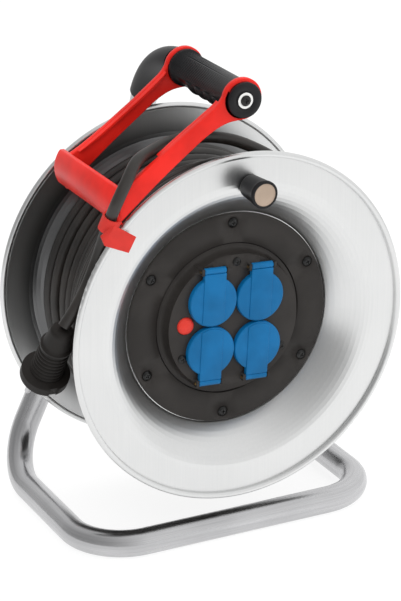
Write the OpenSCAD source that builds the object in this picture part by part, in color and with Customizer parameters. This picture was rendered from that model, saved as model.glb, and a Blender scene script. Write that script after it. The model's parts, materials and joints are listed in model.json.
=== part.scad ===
// Extension cord reel: a sheet steel drum of cable with four sockets, carried by a bent tube stand.
// Z points up and the floor is z = 0. The drum turns about an axis along Y, and its sockets face -Y.

/* [Drum] */
// Outer radius of the two side plates
flange_r = 145; // [138:1:150]
// Distance between the rims of the two side plates
drum_w = 145; // [141:1:149]
// Thickness of the side plates' sheet steel
sheet_t = 1; // [0.8:0.1:1.5]
// Radius of the rolled bead on each rim
bead_r = 2.5; // [2:0.1:3]
// Radius at which each side plate bulges outwards most
crown_r = 120; // [117:1:124]
// Radius of the flat seat at the middle of each side plate
seat_r = 88.5; // [87:0.5:90]
// Distance from the drum's middle plane to the outside of each seat
seat_y = 46.5; // [45:0.5:48]
// Outer radius of the plastic barrel inside the winding
barrel_r = 64; // [63.5:0.5:66]
// Wall of the plastic barrel
barrel_wall = 2.5; // [2:0.25:3]
// Turn of the drum on its axle, in degrees
drum_turn = 3.1; // [0:0.1:6]

/* [Sockets] */
// Radius of the plate that carries the sockets
plate_r = 57; // [56.5:0.5:58]
// Distance from the drum's middle plane to the face of the socket plate
plate_y = 58.5; // [57:0.5:60]
// Spacing of the sockets, across and up
socket_pitch = 41.5; // [41.25:0.25:42]
// Radius of each socket's recess
well_r = 19.5; // [19:0.1:19.6]
// Depth of each socket's recess
well_depth = 17; // [16:0.5:18]
// Radius of each lid
lid_r = 20.5; // [20:0.1:20.6]
// Height of each lid over the plate
lid_h = 5; // [4.5:0.25:5.5]
// Width of each lid's hinge tab
tab_w = 19; // [17:0.5:20]
// Radius of the red reset button
button_r = 7.1; // [6.5:0.1:7.3]

/* [Crank knob] */
// Distance of the crank knob from the drum's axis
crank_r = 117.5; // [116:0.5:119]
// Length of the crank knob
knob_len = 25.5; // [22:0.5:30]
// Radius of the crank knob at its outer end
knob_r = 11.1; // [10:0.1:12]

/* [Stand] */
// Outer radius of the bent tube
tube_r = 11; // [10.5:0.25:11.5]
// Wall of the bent tube
tube_wall = 1.5; // [1:0.25:2]
// Height of the drum's axis over the floor
axle_z = 181; // [178:1:186]
// Half the width of the stand between its tube centres
foot_x = 128; // [124:1:131]
// Distance from the drum's middle plane forward to the front foot's centre
foot_front = 68; // [62:1:74]
// Distance from the drum's middle plane back to the upright's centre
post_y = 110; // [108:1:114]
// Bend radius of the stand's corners
corner_r = 45; // [40:1:50]

/* [Handle and guide] */
// Height of the grip's centre over the drum's axis
grip_z = 187.5; // [185:0.5:192]
// Bend radius of the tube behind the grip
neck_r = 76; // [72:1:77]
// Outer radius of the grip
grip_r = 14; // [13:0.25:15]
// Radius of the guide's two bosses
boss_r = 16.5; // [16:0.25:17.5]
// Thickness of the guide's arms
arm_t = 5.5; // [4.5:0.25:6]
// Distance from the drum's middle plane forward to the front arm's outer face
arm_front = 72.5; // [71.5:0.25:73.5]
// Distance from the drum's middle plane back to the rear arm's outer face
arm_rear = 32; // [30:0.5:34]
// Slope of the guide below level, in degrees
arm_slope = 32.4; // [32:0.1:33]

/* [Cable] */
// Diameter of the rubber cable
cable_d = 9.4; // [9:0.1:9.6]
// Turns in the winding's outer layer
turns = 12; // [9:1:12]
// Radius of the plug's face
plug_r = 19.5; // [18.5:0.25:20]

/* [Fits] */
// Gap all round a pin or shaft that turns
running = 0.05; // [0.03:0.01:0.08]
// Gap between pieces that pass each other
gap = 0.4; // [0.3:0.05:0.6]
// Gap between pieces that are pushed or screwed together
snug = 0.02; // [0.01:0.01:0.05]

/* [Hidden] */
FN = 96;

// Overall places, from the drum's middle
rim_y = drum_w / 2;
crown_y = rim_y - 0.5;
nut_h = 5;
knob_base_y = crown_y + gap;
knob_face_y = knob_base_y + knob_len;
rear_reach = post_y + tube_r + nut_h;
drum_y = (knob_face_y - rear_reach) / 2;
cut = 1;

module at_drum() {
  translate([0, drum_y, axle_z]) children();
}

module on_drum() {
  at_drum() rotate([0, drum_turn, 0]) children();
}

// A solid turned about the drum's axis, from points [radius, y]
module turned(points) {
  rotate([-90, 0, 0]) rotate_extrude($fn = FN) polygon(points);
}

module rod(r, y0, y1) {
  translate([0, y0, 0]) rotate([-90, 0, 0]) cylinder(r = r, h = y1 - y0, $fn = FN);
}

module pipe(outer, inner, y0, y1) {
  difference() {
    rod(outer, y0, y1);
    rod(inner, y0 - cut, y1 + cut);
  }
}

// A plate that stands across Y, from a flat shape in X and Z
module slab(y0, y1) {
  translate([0, y1, 0]) rotate([90, 0, 0]) linear_extrude(y1 - y0) children();
}

// Copies on a circle about the drum's axis
module ring_of(count, radius, start) {
  for (i = [0 : count - 1])
    rotate([0, -start - i * 360 / count, 0]) translate([radius, 0, 0]) children();
}

// A pan head screw whose head sits at y = 0 and points forward
module pan_screw(head_r, head_h, shank_r, length) {
  turned([[0, -head_h], [head_r * 0.6, -head_h], [head_r, -head_h * 0.4], [head_r, 0], [shank_r, 0],
    [shank_r, length - shank_r], [0, length]]);
}

// ---- Stand -------------------------------------------------------------------------------------

apex_z = grip_z - neck_r - 12.5;
foot_z = tube_r - axle_z;
tube_front = arm_front - 0.5;
frame_corners = [
  [0, -tube_front, grip_z], [0, post_y, grip_z], [0, post_y, apex_z], [-foot_x, post_y, foot_z],
  [-foot_x, -foot_front, foot_z], [foot_x, -foot_front, foot_z], [foot_x, post_y, foot_z],
  [0, post_y, apex_z]
];
// The tube swells a little where it is bent, and each straight run reaches into its bends
bend_swell = 0.02;
overlap = 0.5;
// The right leg's bore stops short of the left leg that it is welded to
weld_gap = 0.6;
leg_dir = unit(frame_corners[3] - frame_corners[2]);
leg_bend_r = 40;
frame_bends = [0, neck_r, leg_bend_r, corner_r, corner_r, corner_r, corner_r, 0];

function unit(v) = v / norm(v);
function leg_at(z) = foot_x * (apex_z - z) / (apex_z - foot_z);
function bend_angle(a, b) = acos(a * b);
function setback(i) = (frame_bends[i] == 0) ? 0
  : frame_bends[i] * tan(bend_angle(unit(frame_corners[i] - frame_corners[i - 1]),
      unit(frame_corners[i + 1] - frame_corners[i])) / 2);

// Puts +Z along direction d and +X along direction x
module aim(origin, x, d) {
  y = cross(d, x);
  multmatrix([[x[0], y[0], d[0], origin[0]], [x[1], y[1], d[1], origin[1]], [x[2], y[2], d[2], origin[2]],
    [0, 0, 0, 1]]) children();
}

function across(d) = unit(abs(d[1]) > 0.9 ? cross(d, [0, 0, 1]) : cross(d, [0, 1, 0]));

module tube_run(i, r, before, after) {
  a = frame_corners[i];
  b = frame_corners[i + 1];
  d = unit(b - a);
  start = a + d * (setback(i) - before);
  end = b - d * ((i + 2 < len(frame_corners) ? setback(i + 1) : 0) - after);
  aim(start, across(d), d) cylinder(r = r, h = norm(end - start), $fn = FN);
}

module tube_bend(i, r) {
  a = unit(frame_corners[i] - frame_corners[i - 1]);
  b = unit(frame_corners[i + 1] - frame_corners[i]);
  angle = bend_angle(a, b);
  start = frame_corners[i] - a * setback(i);
  inward = unit(b - a * (a * b));
  centre = start + inward * frame_bends[i];
  aim(centre, -inward, cross(-inward, a))
    rotate_extrude(angle = angle, $fn = FN) translate([frame_bends[i], 0])
      circle(r = r + bend_swell, $fn = 48);
}

module tube_path(first, last, r, open) {
  for (i = [first : last]) tube_run(i, r, i == 0 ? open : overlap, overlap);
  for (i = [first + 1 : last]) tube_bend(i, r);
}

module stand_tube() color("silver") at_drum() {
  bore_r = tube_r - tube_wall;
  last = len(frame_corners) - 2;
  difference() {
    union() {
      tube_path(0, last - 1, tube_r, 0);
      tube_bend(last, tube_r);
      difference() {
        tube_run(last, tube_r, overlap, 0);
        tube_run(1, bore_r, overlap, overlap);
      }
    }
    tube_path(0, last - 1, bore_r, cut);
    tube_bend(last, bore_r);
    difference() {
      tube_run(last, bore_r, overlap, 0);
      aim(frame_corners[2], across(leg_dir), leg_dir)
        translate([-50, -50, -50]) cube([50 + tube_r + weld_gap, 100, 200]);
    }
    bolt_places() rod(bolt_r + 0.25, post_y - 2 * tube_r, post_y + 2 * tube_r);
  }
}

// Pressed bracket across the legs, which carries the axle
bolt_r = 3;
bolt_z = 9;
bolt_head_r = 6.4;
bracket_t = 3;
bracket_y = post_y - tube_r - bracket_t;
axle_r = 8;
hub_back_y = seat_y + 2;

module bolt_places() {
  for (side = [-1, 1])
    for (z = [-bolt_z, bolt_z]) translate([side * leg_at(z), 0, z]) children();
}

lip_half = leg_at(bolt_z) - bolt_head_r - 2;

module axle_bracket() color("lightgray") at_drum() difference() {
  union() {
    slab(bracket_y, bracket_y + bracket_t) union() {
      square([2 * leg_at(0), 30], center = true);
      circle(r = 24, $fn = FN);
      for (side = [-1, 1]) translate([side * leg_at(0), 0]) circle(r = 16, $fn = 48);
    }
    for (z = [-15, 12]) translate([-lip_half, bracket_y - 5, z]) cube([2 * lip_half, 6, 3]);
  }
  rod(axle_r + snug, bracket_y - 9, bracket_y + 9);
  bolt_places() rod(bolt_r + 0.25, bracket_y - 9, bracket_y + 9);
}

module bracket_bolts() color("silver") at_drum() bolt_places() {
  rod(bolt_r, bracket_y - 1, post_y + tube_r + nut_h - 0.5);
  translate([0, bracket_y, 0])
    turned([[0, -3], [3.5, -2.6], [bolt_head_r - 0.2, -0.8], [bolt_head_r, 0], [0, 0]]);
}

module bracket_nuts() color("silver") at_drum() bolt_places() difference() {
  translate([0, post_y + tube_r, 0]) rotate([-90, 0, 0]) cylinder(r = 5.8, h = nut_h, $fn = 6);
  rod(bolt_r + snug, post_y, post_y + 2 * tube_r);
}

axle_inner_y = 6;
washer_t = 2;
hub_front_y = axle_inner_y + 12;

module axle() color("silver") at_drum() union() {
  rod(axle_r, hub_front_y - washer_t - snug, bracket_y + bracket_t + 1);
  rod(5, axle_inner_y, hub_front_y);
  rod(12, bracket_y + bracket_t, bracket_y + bracket_t + 5);
}

module axle_spacer() color("silver") at_drum()
  pipe(12, axle_r + snug, hub_back_y + 2 + gap, bracket_y);

module axle_washer() color("silver") at_drum()
  pipe(14, 5 + snug, hub_front_y - 2 * washer_t - snug, hub_front_y - washer_t - snug);

module axle_nut() color("silver") at_drum() difference() {
  translate([0, axle_inner_y + 1.5, 0]) rotate([-90, 0, 0])
    cylinder(r = 9.2, h = hub_front_y - 2 * washer_t - snug - axle_inner_y - 1.5, $fn = 6);
  rod(5 + snug, 0, hub_front_y);
}

// ---- Handle ------------------------------------------------------------------------------------

module at_grip() {
  at_drum() translate([0, 0, grip_z]) children();
}

grip_front = arm_front - arm_t - gap;
grip_back = arm_rear - arm_t - gap;
neck_y = post_y - neck_r;
sleeve_t = 1.6;

module neck_sleeve() color("#1d1d1e") at_drum()
  aim([0, neck_y, grip_z - neck_r], [0, 0, 1], [-1, 0, 0]) rotate([0, 0, 4])
    rotate_extrude(angle = 58, $fn = FN) translate([neck_r, 0]) difference() {
      circle(r = tube_r + sleeve_t, $fn = 48);
      circle(r = tube_r + bend_swell + snug, $fn = 48);
    }

ridge_count = 4;
ridge_pitch = 15;

module hand_grip() color("#26282a") at_grip() difference() {
  union() {
    rod(grip_r - 0.6, -grip_front, grip_back);
    rod(grip_r + 1, grip_back - 4, grip_back);
    rod(grip_r, -grip_front, 3 - grip_front);
    intersection() {
      for (i = [0 : ridge_count - 1])
        translate([0, -grip_front + 16 + i * ridge_pitch, 0])
          turned([[0, -6], [grip_r - 0.8, -6], [grip_r + 0.4, -3.5], [grip_r + 1, 0], [grip_r + 0.4, 3.5],
            [grip_r - 0.8, 6], [0, 6]]);
      translate([0, 0, -grip_r]) cube([3 * grip_r, 400, 1.6 * grip_r], center = true);
    }
  }
  rod(tube_r + snug, -grip_front - cut, grip_back + cut);
}

cap_t = 4.2;
cap_back = arm_front + gap;

module tube_insert() color("dimgray") at_grip() difference() {
  rod(tube_r - tube_wall - snug, -tube_front, 14 - tube_front);
  rod(3 + snug, -tube_front - cut, 14 - tube_front + cut);
}

module grip_end_cap() color("#26282a") at_grip() difference() {
  turned([[0, -cap_back - cap_t], [grip_r - 0.8, -cap_back - cap_t], [grip_r, -cap_back - cap_t + 0.8],
    [grip_r, -cap_back], [tube_r, -cap_back], [tube_r, -tube_front - snug], [0, -tube_front - snug]]);
  rod(3.2, -cap_back - cap_t - cut, -tube_front + cut);
  rod(6.5, -cap_back - cap_t - cut, -cap_back - cap_t + 1.6);
}

module cap_washer() color("white") at_grip()
  pipe(6.3, 3.2, -cap_back - cap_t + 0.2, -cap_back - cap_t + 1.6);

module cap_screw() color("#1c1c1c") at_grip() difference() {
  union() {
    translate([0, -cap_back - cap_t + 0.2, 0]) pan_screw(4.2, 1.6, 3, 16);
  }
  for (turn = [0, 90]) rotate([0, turn, 0])
    translate([-2, -cap_back - cap_t - 2, -0.5]) cube([4, 1.6, 1]);
}

// ---- Cable guide -------------------------------------------------------------------------------

// A point of the guide's arms: s runs down the arm from the grip's axis, n is across it
function on_arm(s, n) = [s * cos(180 + arm_slope) + n * cos(90 + arm_slope),
  s * sin(180 + arm_slope) + n * sin(90 + arm_slope)];
arm_upper = [[5, 15.7], [16, 9.6], [30, 8.4], [55, 7.6], [78, 6.4], [90, 6], [106, 6], [118, 7]];
arm_lower = [[134, -15.4], [109, -11.8], [87, -9], [59, -6.5], [40, -5.4], [28, -6.2], [18, -8.8],
  [8, -14.4]];
rear_arm_drop = 2.4;
bar_top = on_arm(118, 7);
bar_foot = on_arm(134, -15.4);
bar_t = 4;
bar_bulge = 2.4;
bar_rear = arm_rear + 9;
lip_t = 2;
lip_w = 3.5;

function sunk(p, drop) = on_arm(p[0], p[1] - drop * min(1, max(0, (p[0] - 10) / 40)));

module arm_shape(drop = 0) {
  circle(r = boss_r, $fn = FN);
  polygon([for (p = arm_upper) sunk(p, drop), for (p = arm_lower) sunk(p, drop)]);
}

module arm_lip_shape(drop) {
  last = len(arm_upper) - 1;
  polygon([for (i = [1 : last]) sunk(arm_upper[i], drop),
    for (i = [last : -1 : 1]) sunk(arm_upper[i] - [0, lip_t], drop)]);
}

module lip_down_to(s, drop = 0) {
  intersection() {
    arm_lip_shape(drop);
    polygon([on_arm(0, 30), on_arm(s, 30), on_arm(s, -30), on_arm(0, -30)]);
  }
}

// The curved bar that the cable runs over, between the feet of the two arms
module bar_shape(inner = bar_t, outer = 0, over = 0) {
  steps = 10;
  across_bar = unit(bar_foot - bar_top);
  out = [across_bar[1], -across_bar[0]];
  function bar_point(k, off) = bar_top + (bar_foot - bar_top) * k / steps
    + out * (bar_bulge * sin(180 * k / steps) - off);
  polygon([for (k = [-over : steps + over]) bar_point(k, -outer),
    for (k = [steps + over : -1 : -over]) bar_point(k, inner)]);
}

module rim_clearance() {
  at_drum() rod(flange_r + gap, -rim_y - 10, rim_y + 10);
}

module at_bar_rear() {
  translate([0, bar_rear - 12, grip_z + (bar_top[1] + bar_foot[1]) / 2]) children();
}

slot_places = [[-14, 6], [-5, -3]];

module guide_frame() color("#dc322a") difference() {
  union() {
    at_grip() slab(-arm_front, -arm_front + arm_t) arm_shape();
    at_grip() slab(-arm_front + arm_t - cut, -arm_front + arm_t + lip_w) lip_down_to(80);
    at_drum() intersection() {
      translate([0, 0, grip_z]) slab(-arm_front, bar_rear) bar_shape();
      union() {
        translate([-150, -arm_front - cut, 0]) cube([150, arm_front + cut + bar_rear - 12, 200]);
        at_bar_rear() rotate([0, 90, 0]) cylinder(r = 12, h = 400, center = true, $fn = 48);
        translate([-150, bar_rear - 13, grip_z + bar_foot[1] - 2])
          cube([150, 7, bar_top[1] - bar_foot[1] + 4]);
      }
    }
  }
  at_grip() rod(tube_r + gap, -arm_front - cut, 0);
  rim_clearance();
  at_drum() for (p = slot_places) translate([-110, p[0], grip_z + bar_foot[1] + 14 + p[1]])
    cube([14, 5, 2], center = true);
}

module guide_rear_arm() color("#dc322a") difference() {
  union() {
    at_grip() slab(arm_rear - arm_t, arm_rear) arm_shape(rear_arm_drop);
    at_grip() slab(arm_rear - arm_t - lip_w, arm_rear - arm_t + cut) lip_down_to(108, rear_arm_drop);
  }
  at_grip() rod(tube_r + gap, 0, arm_rear + cut);
  at_grip() slab(0, 2 * arm_rear) bar_shape(bar_t + snug, 20, 1);
  rim_clearance();
}

// ---- Side plates -------------------------------------------------------------------------------

inner_rim_r = flange_r - 2 * bead_r + 0.4;
plate_hole_r = barrel_r + 2;

// Outer face of a side plate as [radius, distance from the middle]: seat, rise, crown, rim
function dish_points(in) = concat(
  [[plate_hole_r, seat_y - in], [seat_r - 4, seat_y - in]],
  [for (k = [0 : 10]) [seat_r + (crown_r - seat_r) * k / 10 + in * 0.8 * (k < 9 ? 1 : 0.5),
    seat_y + (crown_y - seat_y) * sin(9 * k) - in]],
  [for (k = [1 : 4]) [crown_r + (inner_rim_r - crown_r) * k / 4,
    crown_y - (crown_y - rim_y + 1) * (1 - cos(22.5 * k)) - in]]);

module side_plate() {
  difference() {
    union() {
      turned(concat(dish_points(0), [for (i = [16 : -1 : 0]) dish_points(sheet_t)[i]]));
      rotate([-90, 0, 0]) rotate_extrude($fn = FN)
        translate([flange_r - bead_r, rim_y]) circle(r = bead_r, $fn = 32);
    }
    ring_of(6, screw_pcd_r, 30) rod(2.2, 0, 2 * seat_y);
  }
}

module front_flange() color("gainsboro") on_drum() difference() {
  mirror([0, 1, 0]) side_plate();
  translate([0, 0, crank_r]) rod(4 + snug, -rim_y - 10, 0);
}

module rear_flange() color("gainsboro") on_drum() side_plate();

// ---- Barrel and hub ----------------------------------------------------------------------------

screw_pcd_r = 80;
ring_back_y = seat_y - sheet_t;
ring_depth = 7;
ring_t = 2.5;
bush_r = 11;
boss_outer_r = 17;
web_y = 33;
insert_screw_r = 51;
insert_seat_y = 45.5;
base_t = 2.7;
base_face_y = insert_seat_y + base_t;
plate_t = 2.5;

module barrel_rim() {
  turned([[barrel_r - barrel_wall, ring_back_y], [barrel_r - barrel_wall, ring_back_y - ring_depth],
    [seat_r - 2, ring_back_y - ring_depth], [seat_r - 2, ring_back_y]]);
}

module drum_barrel() color("#202123") on_drum() difference() {
  union() {
    pipe(barrel_r, barrel_r - barrel_wall, -ring_back_y, ring_back_y);
    barrel_rim();
    mirror([0, 1, 0]) barrel_rim();
    rod(barrel_r - barrel_wall + 0.5, web_y, web_y + 3);
    rod(boss_outer_r, hub_front_y, hub_back_y);
    ring_of(6, 0, 0) translate([boss_outer_r - 2, web_y + 1, -1.25])
      cube([barrel_r - barrel_wall - boss_outer_r + 3, 8, 2.5]);
    mirror([0, 1, 0])
      pipe(barrel_r - barrel_wall + 0.5, plate_r - 2, insert_seat_y - 4, insert_seat_y - snug);
    difference() {
      ring_of(3, 0, 90) insert_post();
      each_socket() rod(well_r + well_wall + gap, -plate_y, -well_floor_y + floor_t + gap);
    }
  }
  rod(bush_r + snug, hub_front_y - cut, hub_back_y + cut);
  ring_of(6, screw_pcd_r, 30) rod(1.6, -2 * seat_y, 2 * seat_y);
  ring_of(3, insert_screw_r, 90) rod(1.6, -plate_y, -plate_y + 20);
  gland_place() rod(gland_r + snug, -10, 10);
}

// Posts that take the insert's screws, on ribs from the barrel's wall
module insert_post() {
  translate([insert_screw_r, 0, 0]) rod(3.2, -plate_y + plate_t + snug, -plate_y + 22);
  translate([insert_screw_r, -plate_y + 14.5, -1.5])
    cube([barrel_r - barrel_wall - insert_screw_r + 0.5, 9, 3]);
}

module hub_bush() color("ivory") on_drum() difference() {
  union() {
    rod(bush_r, hub_front_y, hub_back_y + 2);
    rod(bush_r + 4, hub_back_y, hub_back_y + 2);
  }
  rod(axle_r + running, 0, 2 * seat_y);
}

module cover_ring() {
  difference() {
    turned([[barrel_r - 0.8, seat_y], [barrel_r - 0.8, seat_y + ring_t - 0.4],
      [barrel_r - 0.4, seat_y + ring_t],
      [seat_r - 1.6, seat_y + ring_t], [seat_r - 0.6, seat_y + ring_t - 1], [seat_r - 0.6, seat_y]]);
    ring_of(6, screw_pcd_r, 30) rod(2.2, 0, 2 * seat_y);
    ring_of(6, screw_pcd_r, 30) rod(4.6, seat_y + ring_t - 1, 2 * seat_y);
  }
}

module cover_screws() {
  ring_of(6, screw_pcd_r, 30) translate([0, -seat_y - ring_t + 1, 0]) difference() {
    pan_screw(3.8, 2.2, 1.55, 9);
    for (turn = [0, 90]) rotate([0, turn, 0]) translate([-1.8, -3, -0.4]) cube([3.6, 1.9, 0.8]);
  }
}

module front_ring() color("#45413f") on_drum() mirror([0, 1, 0]) cover_ring();
module rear_ring() color("#45413f") on_drum() cover_ring();
module front_screws() color("#1b1b1b") on_drum() cover_screws();
module rear_screws() color("#1b1b1b") on_drum() mirror([0, 1, 0]) cover_screws();

// ---- Socket insert -----------------------------------------------------------------------------

half_pitch = socket_pitch / 2;
base_r = barrel_r - 1.4;
well_wall = 2;
well_floor_y = plate_y - well_depth;
floor_t = 2.5;
hinge_z = 26;
hinge_y = plate_y + 3.3;
pin_r = 1.2;
knuckle_r = 2.7;
button_x = -42.5;
button_z = 2;

// Sockets 1 to 4: upper left, upper right, lower left, lower right
socket_signs = [[-1, 1], [1, 1], [-1, -1], [1, -1]];

module at_socket(i) {
  translate([socket_signs[i][0] * half_pitch, 0, socket_signs[i][1] * half_pitch])
    mirror([0, 0, socket_signs[i][1] < 0 ? 1 : 0]) children();
}

module each_socket() {
  for (i = [0 : 3]) at_socket(i) children();
}

// Slots in the wall and the floor of a well, for the two prongs of its earth strip
module clip_slots() {
  for (side = [-1, 1])
    translate([-clip_w / 2 - 0.3, -well_floor_y - clip_len - 1, side * (well_r + 0.1) - 1])
      cube([clip_w + 0.6, clip_len + 2 + floor_t + cut, 2]);
}

module insert_skin(r_off, y_off) {
  steps = 6;
  wall = [for (k = [0 : steps]) [base_r - 2 - (base_r - 2 - plate_r) * sin(90 * k / steps),
    -base_face_y - (plate_y - base_face_y) * (1 - cos(90 * k / steps))]];
  turned(concat([[0, -plate_y + y_off]], [for (i = [steps : -1 : 0]) wall[i] + [-r_off, y_off]],
    [[base_r - r_off, -base_face_y + y_off], [base_r - r_off, -insert_seat_y + y_off],
      [0, -insert_seat_y + y_off]]));
}

module insert_cavity() {
  turned([[0, -plate_y + plate_t], [plate_r - plate_t, -plate_y + plate_t], [plate_r - plate_t, 0],
    [0, 0]]);
}

module socket_insert() color("#4a4644") on_drum() difference() {
  union() {
    difference() {
      insert_skin(0, 0);
      insert_cavity();
    }
    intersection() {
      each_socket() rod(well_r + well_wall, -plate_y + cut, -well_floor_y);
      rod(plate_r - cut, -plate_y, 0);
    }
    each_socket() for (side = [-1, 1]) hinge_lug(side);
    translate([button_x, 0, button_z]) rod(button_r + 1.6, -plate_y + cut, -plate_y + 8);
  }
  each_socket() rod(well_r, -plate_y - 10, cut - well_floor_y);
  each_socket() clip_slots();
  each_socket() translate([0, -hinge_y, hinge_z]) rotate([0, 90, 0])
    cylinder(r = pin_r + snug, h = tab_w + 20, center = true, $fn = 32);
  ring_of(3, insert_screw_r, 90) rod(2, -2 * plate_y, 0);
  translate([button_x, 0, button_z]) rod(button_r + 0.3, -2 * plate_y, 0);
}

lug_t = 2.2;

module hinge_lug(side) {
  translate([side * (tab_w / 2 + gap + lug_t / 2) - lug_t / 2, -hinge_y - 2.6, hinge_z - 2.6])
    cube([lug_t, hinge_y + 2.6 - base_face_y - 0.5, 5.2]);
}

module insert_screws() color("#1b1b1b") on_drum()
  ring_of(3, insert_screw_r, 90) translate([0, -plate_y, 0]) difference() {
    pan_screw(3.4, 1.8, 1.55, 12);
    for (turn = [0, 90]) rotate([0, turn, 0]) translate([-1.6, -2.6, -0.4]) cube([3.2, 1.6, 0.8]);
  }

block_r = 16.5;
block_len = 18;
sleeve_r = 3.4;
pin_hole_r = 2.8;
clip_w = 8;
clip_len = 11.5;
clip_t = 0.8;
block_y = -well_floor_y + floor_t + snug;

// Each block closes the back of its well, so that its face is the well's floor
module socket_block(i) color("#3c3937") on_drum() at_socket(i) difference() {
  union() {
    rod(half_pitch - gap, snug - well_floor_y, block_y);
    rod(block_r, block_y - floor_t / 2, block_y + block_len);
  }
  for (side = [-1, 1]) translate([side * 9.5, 0, 0]) {
    rod(pin_hole_r, -plate_y, block_y + cut);
    rod(sleeve_r + snug, block_y, block_y + block_len - 2);
  }
  clip_slots();
}

module socket_block_1() socket_block(0);
module socket_block_2() socket_block(1);
module socket_block_3() socket_block(2);
module socket_block_4() socket_block(3);

module contact_sleeves() color("gold") on_drum() each_socket() for (side = [-1, 1])
  translate([side * 9.5, 0, 0]) pipe(sleeve_r, 2.45, block_y + 0.5, block_y + block_len - 2.5);

// One bent strip in each socket, with a prong at its top and bottom
module earth_clips() color("silver") on_drum() each_socket() {
  back_y = block_y + block_len + 0.1;
  prong_r = well_r - 0.1;
  for (side = [-1, 1])
    translate([-clip_w / 2, -well_floor_y - clip_len, side > 0 ? prong_r : -prong_r - clip_t])
      cube([clip_w, clip_len + well_floor_y + back_y + 1, clip_t]);
  translate([-clip_w / 2, back_y, -prong_r - clip_t]) cube([clip_w, 1, 2 * (prong_r + clip_t)]);
}

// ---- Lids --------------------------------------------------------------------------------------

strip_h = 0.8;
lid_back = plate_y + 0.5;
lid_front = plate_y + lid_h;
spring_w = 5.4;
spring_r = 1.8;

module lid(i) color("#1569a5") on_drum() at_socket(i) difference() {
  union() {
    turned([[0, -lid_front], [lid_r - 0.9, -lid_front], [lid_r, -lid_front + 0.9], [lid_r, -lid_back],
      [0, -lid_back]]);
    intersection() {
      translate([-tab_w / 2, -lid_front - strip_h, -lid_r]) cube([tab_w, lid_h, 2 * lid_r]);
      rod(lid_r - 1.2, -2 * lid_front, 0);
    }
    translate([-tab_w / 2, -lid_front - strip_h, 0])
      cube([tab_w, lid_front + strip_h - hinge_y + 1.5, hinge_z]);
    translate([0, -hinge_y, hinge_z]) rotate([0, 90, 0])
      cylinder(r = knuckle_r, h = tab_w, center = true, $fn = 48);
  }
  rod(lid_r - 2.2, -lid_front + 2.4, 0);
  translate([0, -hinge_y, hinge_z]) rotate([0, 90, 0])
    cylinder(r = pin_r + running, h = tab_w + 2, center = true, $fn = 48);
  translate([0, -hinge_y, hinge_z]) rotate([0, 90, 0])
    cylinder(r = spring_r + gap, h = spring_w + 2 * gap, center = true, $fn = 48);
  translate([-spring_w / 2 - gap, -hinge_y, hinge_z - spring_r - gap])
    cube([spring_w + 2 * gap, hinge_y, 2 * (spring_r + gap)]);
}

module lid_1() lid(0);
module lid_2() lid(1);
module lid_3() lid(2);
module lid_4() lid(3);

module lid_pins() color("#c9a45a") on_drum() each_socket()
  translate([0, -hinge_y, hinge_z]) rotate([0, 90, 0])
    cylinder(r = pin_r, h = tab_w + 2 * lug_t + 2 * gap + 1.2, center = true, $fn = 48);

module lid_springs() color("silver") on_drum() each_socket()
  translate([0, -hinge_y, hinge_z]) rotate([0, 90, 0]) difference() {
    cylinder(r = spring_r, h = spring_w, center = true, $fn = 48);
    cylinder(r = pin_r + snug, h = spring_w + cut, center = true, $fn = 48);
  }

// ---- Thermal cutout and wiring -----------------------------------------------------------------

button_travel = 2;
dome_y = plate_y + 3.5;
stem_r = 3;
cutout_front = well_floor_y - floor_t - gap;

module reset_button() color("#e0261c") on_drum() translate([button_x, 0, button_z]) union() {
  turned([[0, -dome_y], [3, -dome_y + 0.3], [5.2, -dome_y + 1.1], [6.6, -dome_y + 2.3],
    [button_r, -dome_y + 3.6],
    [button_r, -plate_y + 5], [0, -plate_y + 5]]);
  rod(stem_r, -plate_y + 4, -cutout_front + 6);
}

module thermal_cutout() color("#303030") on_drum() translate([button_x, 0, button_z]) difference() {
  translate([-7, -cutout_front, -8.5]) cube([14, 24, 17]);
  rod(stem_r + running, -cutout_front - cut, -cutout_front + 6 + button_travel + 1);
}

terminal_h = 12;

module terminal_block() color("ivory") on_drum() translate([0, web_y - terminal_h - snug, -38]) union() {
  translate([-18, 0, -6]) cube([36, terminal_h, 12]);
  for (i = [-1 : 1]) translate([i * 12, 0, 0]) rod(3.6, -1, 1);
}

gland_r = 8;
gland_angle = 250;

module gland_place() {
  rotate([0, -gland_angle, 0]) translate([barrel_r, 12, 0]) rotate([0, 0, -90]) children();
}

module cable_gland() color("#202123") on_drum() gland_place() difference() {
  union() {
    rod(gland_r, -12, -0.6);
    rod(gland_r + 2.5, -12, -barrel_wall - 1);
  }
  rod(cable_d / 2 + snug, -20, 10);
}

// ---- Winding -----------------------------------------------------------------------------------

cable_r = cable_d / 2;
loop_rings = 24;
loop_sides = 6;
extra_rings = 1;
wind_front = 60;
wind_back = 59;
// Centre radius of the outer layer, by distance back from the drum's middle
layer_r = [[-60, 125], [-50, 126], [-40, 127], [-28, 124], [-14, 116], [2, 108], [16, 104], [30, 104],
  [42, 108], [52, 110],
  [60, 110]];
wind_step = (wind_front + wind_back) / turns;

// Where the winding's centre line is after t turns, with a gentle wander that all turns share
function wind_point(t) =
  let (angle = 360 * t, y = wind_back - wind_step * t, r = lookup(y, layer_r))
  [(r + 0.8 * sin(2 * angle)) * cos(angle), y + 1.4 * sin(angle + 40), (r
    + 0.8 * sin(2 * angle)) * sin(angle)];

wind_line = [for (i = [0 : turns * loop_rings + extra_rings]) wind_point(i / loop_rings)];

function dist_gap(i, j) = norm(wind_line[i] - wind_line[j]) - cable_d;
wind_gap = min([for (i = [0 : len(wind_line) - 1]) for (j = [i + loop_rings - 4 : min(len(wind_line) - 1,
  i + loop_rings + 4)]) if (j < len(wind_line)) dist_gap(i, j)]);
echo(least_gap_between_turns = wind_gap);

// A tube of the given sides swept along points; square ends
function tangent(p, i) = unit(p[min(i + 1, len(p) - 1)] - p[max(i - 1, 0)]);
function side_of(d, up) = unit(cross(d, up));

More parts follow.
